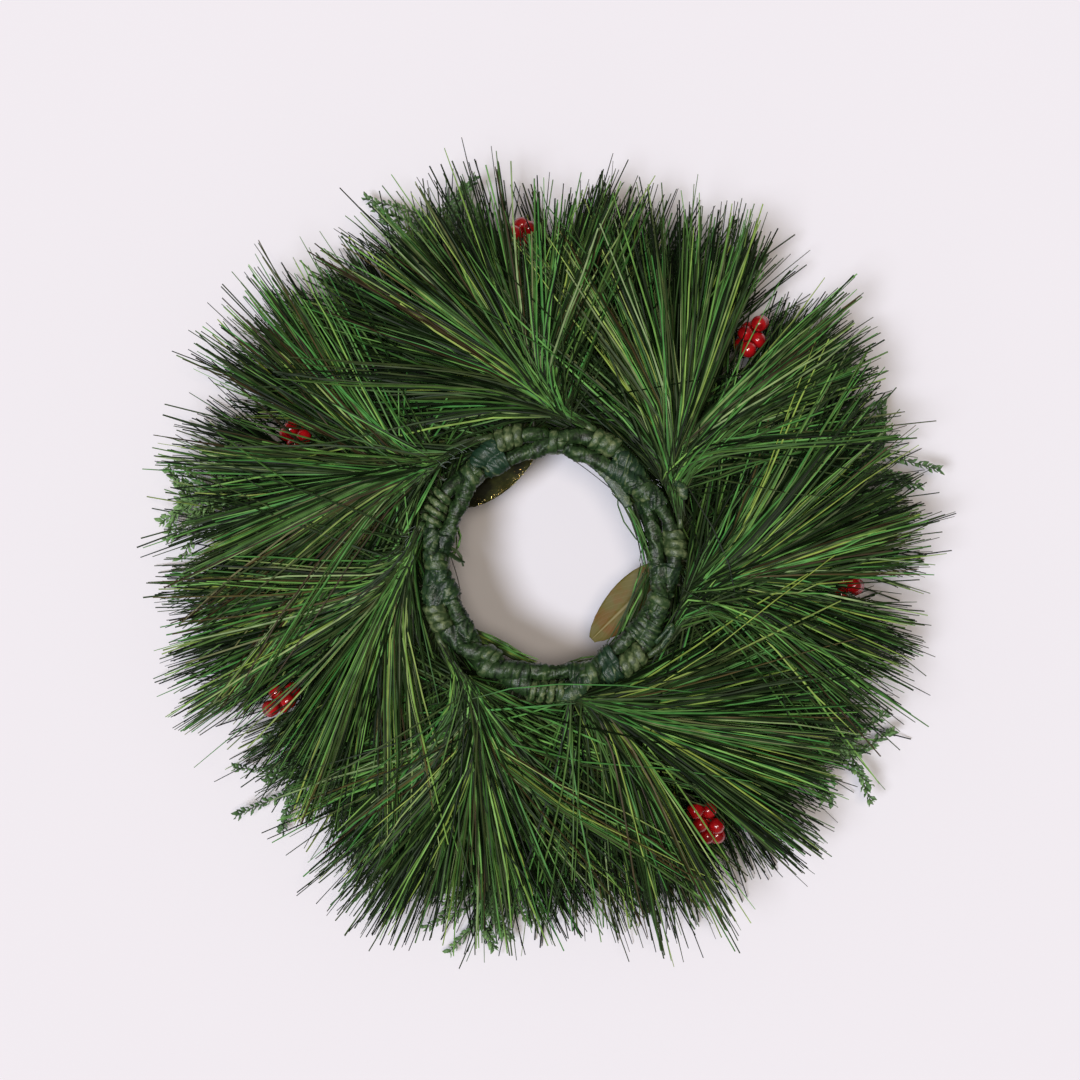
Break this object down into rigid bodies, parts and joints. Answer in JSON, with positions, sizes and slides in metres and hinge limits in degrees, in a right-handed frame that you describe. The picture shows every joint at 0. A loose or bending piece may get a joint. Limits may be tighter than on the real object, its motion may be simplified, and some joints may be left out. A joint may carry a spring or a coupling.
{
  "type": "christmas wreath",
  "caption": "Artificial long-needle pine wreath: picks, berry sprays and leaves wired to a twisted ring of taped wire, lying on its face.",
  "frame": {"origin": "centre of the underside of the bounding box, under the middle of the ring, on the surface that the wreath lies on", "axes": "+Z along the ring's axis, from the wreath's face, which is down, to its back; +Y to the top of the picture"},
  "size_m": [0.383, 0.3845, 0.0695],
  "materials": {
    "floral_tape": "crinkled waxed paper tape, dark blue-green, slightly glossy",
    "upper_needle": "soft satin, mixed greens from dark to olive",
    "lower_needle": "satin, dark and grey-green",
    "berry_red": "glossy lacquer on a round bead",
    "small_leaf": "matte pale green",
    "broad_leaf": "pressed fabric, olive-brown with a pale midrib and gold glitter on its edge"
  },
  "bodies": {
    "root": {"ring_strand_1": "floral_tape", "ring_strand_2": "floral_tape", "upper_stem_1": "floral_tape", "upper_stem_2": "floral_tape", "upper_stem_3": "floral_tape", "upper_stem_4": "floral_tape", "upper_stem_5": "floral_tape", "upper_stem_6": "floral_tape", "upper_stem_7": "floral_tape", "lower_stem_1": "floral_tape", "lower_stem_2": "floral_tape", "lower_stem_3": "floral_tape", "lower_stem_4": "floral_tape", "lower_stem_5": "floral_tape", "lower_stem_6": "floral_tape", "lower_stem_7": "floral_tape", "upper_needles_1": "upper_needle", "upper_needles_2": "upper_needle", "upper_needles_3": "upper_needle", "upper_needles_4": "upper_needle", "upper_needles_5": "upper_needle", "upper_needles_6": "upper_needle", "upper_needles_7": "upper_needle", "lower_needles_1": "lower_needle", "lower_needles_2": "lower_needle", "lower_needles_3": "lower_needle", "lower_needles_4": "lower_needle", "lower_needles_5": "lower_needle", "lower_needles_6": "lower_needle", "lower_needles_7": "lower_needle", "berry_spray_1": "berry_red", "berry_spray_2": "berry_red", "berry_spray_3": "berry_red", "berry_spray_4": "berry_red", "berry_spray_5": "berry_red", "berry_spray_6": "berry_red", "berry_spray_7": "berry_red", "leafy_spray_1": "small_leaf", "leafy_spray_2": "small_leaf", "leafy_spray_3": "small_leaf", "leafy_spray_4": "small_leaf", "leafy_spray_5": "small_leaf", "leafy_spray_6": "small_leaf", "inner_leaf_1": "broad_leaf", "inner_leaf_2": "broad_leaf", "outer_leaf_1": "broad_leaf", "outer_leaf_2": "broad_leaf", "outer_leaf_3": "broad_leaf"}
  },
  "joints": []
}
